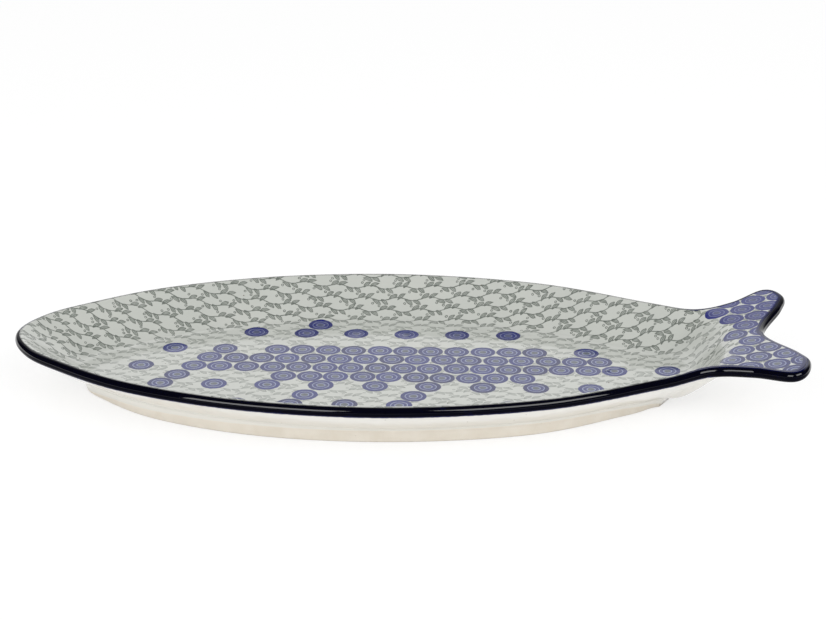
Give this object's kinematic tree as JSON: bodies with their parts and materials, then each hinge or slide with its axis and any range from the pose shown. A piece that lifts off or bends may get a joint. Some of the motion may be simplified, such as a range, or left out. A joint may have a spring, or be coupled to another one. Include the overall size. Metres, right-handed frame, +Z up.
{
  "type": "fish shaped platter",
  "caption": "Shallow fish shaped serving platter in glazed stoneware, with a pointed well, rounded cobalt lip, flat forked tail fin and a low foot ring.",
  "frame": {"origin": "on the table plane under the middle of the platter's bounding box", "axes": "+X from the nose to the tail, the longest extent; +Y across the platter; +Z up, the shortest extent"},
  "size_m": [0.43, 0.202, 0.0385],
  "materials": {
    "fired_clay": "matt, bare fired stoneware",
    "bare_foot": "matt, bare fired stoneware, wiped smooth where it stands",
    "decorated_glaze": "glossy clear glaze over a cream ground with a cobalt and grey-green stamped pattern",
    "cobalt_glaze": "glossy, very dark cobalt",
    "cream_glaze": "glossy clear glaze on cream stoneware",
    "base_glaze": "glossy clear glaze on cream stoneware"
  },
  "bodies": {
    "root": {"clay_body": "fired_clay", "foot_ring": "bare_foot", "inner_glaze": "decorated_glaze", "rim_band": "cobalt_glaze", "outer_glaze": "cream_glaze", "base_glaze": "base_glaze"}
  },
  "joints": []
}
